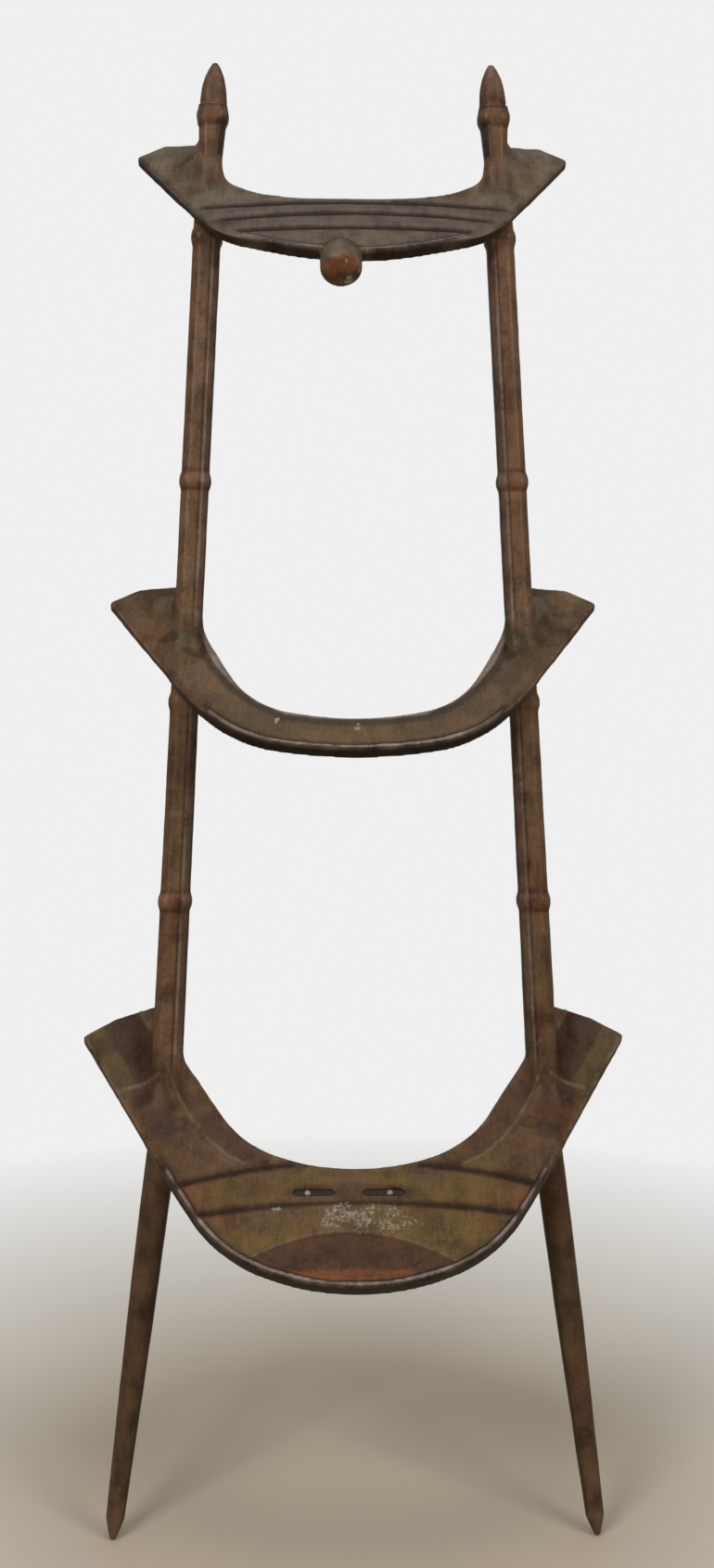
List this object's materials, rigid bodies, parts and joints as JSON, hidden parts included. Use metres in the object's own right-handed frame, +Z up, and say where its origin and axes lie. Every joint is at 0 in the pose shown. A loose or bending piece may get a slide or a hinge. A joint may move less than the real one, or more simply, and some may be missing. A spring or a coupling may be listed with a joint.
{
  "type": "camel saddle frame",
  "caption": "Tall ladder-like wooden camel saddle frame: splayed side poles carry raked U-shaped bows with flared ears and a pommel knob, dressed in rawhide",
  "frame": {"origin": "on the floor, under the middle of the bounding box in plan, with the frame stood on its two leg ends and leaning back", "axes": "+Z up, +X to the right seen from the front, -Y to the front, which is the side the bows slope down to"},
  "size_m": [0.5508, 0.4128, 1.4612],
  "materials": {
    "pole": "dark brown rawhide-dressed wood, satin",
    "leg": "dark brown rawhide-dressed wood, satin",
    "bow": "olive-brown rawhide-dressed wood, satin",
    "collar": "shrunk rawhide band, satin",
    "web": "shrunk rawhide, satin",
    "rim": "shrunk rawhide bead, satin",
    "thong": "dark worn leather",
    "peg": "red-brown wood, satin",
    "knob": "worn rust-brown rawhide on wood",
    "panel": "red-brown rawhide panel, satin"
  },
  "bodies": {
    "root": {"bottom_bow_lens_panel": "panel", "bottom_bow_lower_board": "bow", "bottom_bow_middle_board": "bow", "bottom_bow_rim": "rim", "left_bottom_bow_arm": "bow", "left_bottom_bow_cross_tie": "bow", "left_bottom_bow_inner_lip": "bow", "left_bottom_bow_peg": "peg", "left_bottom_bow_thong": "thong", "left_bottom_bow_web": "web", "left_finial_collar": "collar", "left_leg": "leg", "left_lower_collar": "collar", "left_mid_bow_collar": "collar", "left_mid_bow_peg": "peg", "left_mid_bow_web": "web", "left_side_pole": "pole", "left_top_bow_collar": "collar", "left_top_bow_rim": "rim", "left_top_bow_web": "web", "left_upper_collar": "collar", "mid_bow_board": "bow", "mid_bow_rim": "rim", "pommel_knob": "knob", "right_bottom_bow_arm": "bow", "right_bottom_bow_cross_tie": "bow", "right_bottom_bow_inner_lip": "bow", "right_bottom_bow_peg": "peg", "right_bottom_bow_thong": "thong", "right_bottom_bow_web": "web", "right_finial_collar": "collar", "right_leg": "leg", "right_lower_collar": "collar", "right_mid_bow_collar": "collar", "right_mid_bow_peg": "peg", "right_mid_bow_web": "web", "right_side_pole": "pole", "right_top_bow_collar": "collar", "right_top_bow_rim": "rim", "right_top_bow_web": "web", "right_upper_collar": "collar", "top_bow_lower_reed": "bow", "top_bow_middle_reed": "bow", "top_bow_upper_reed": "bow", "top_bow_yoke": "bow"}
  },
  "joints": []
}
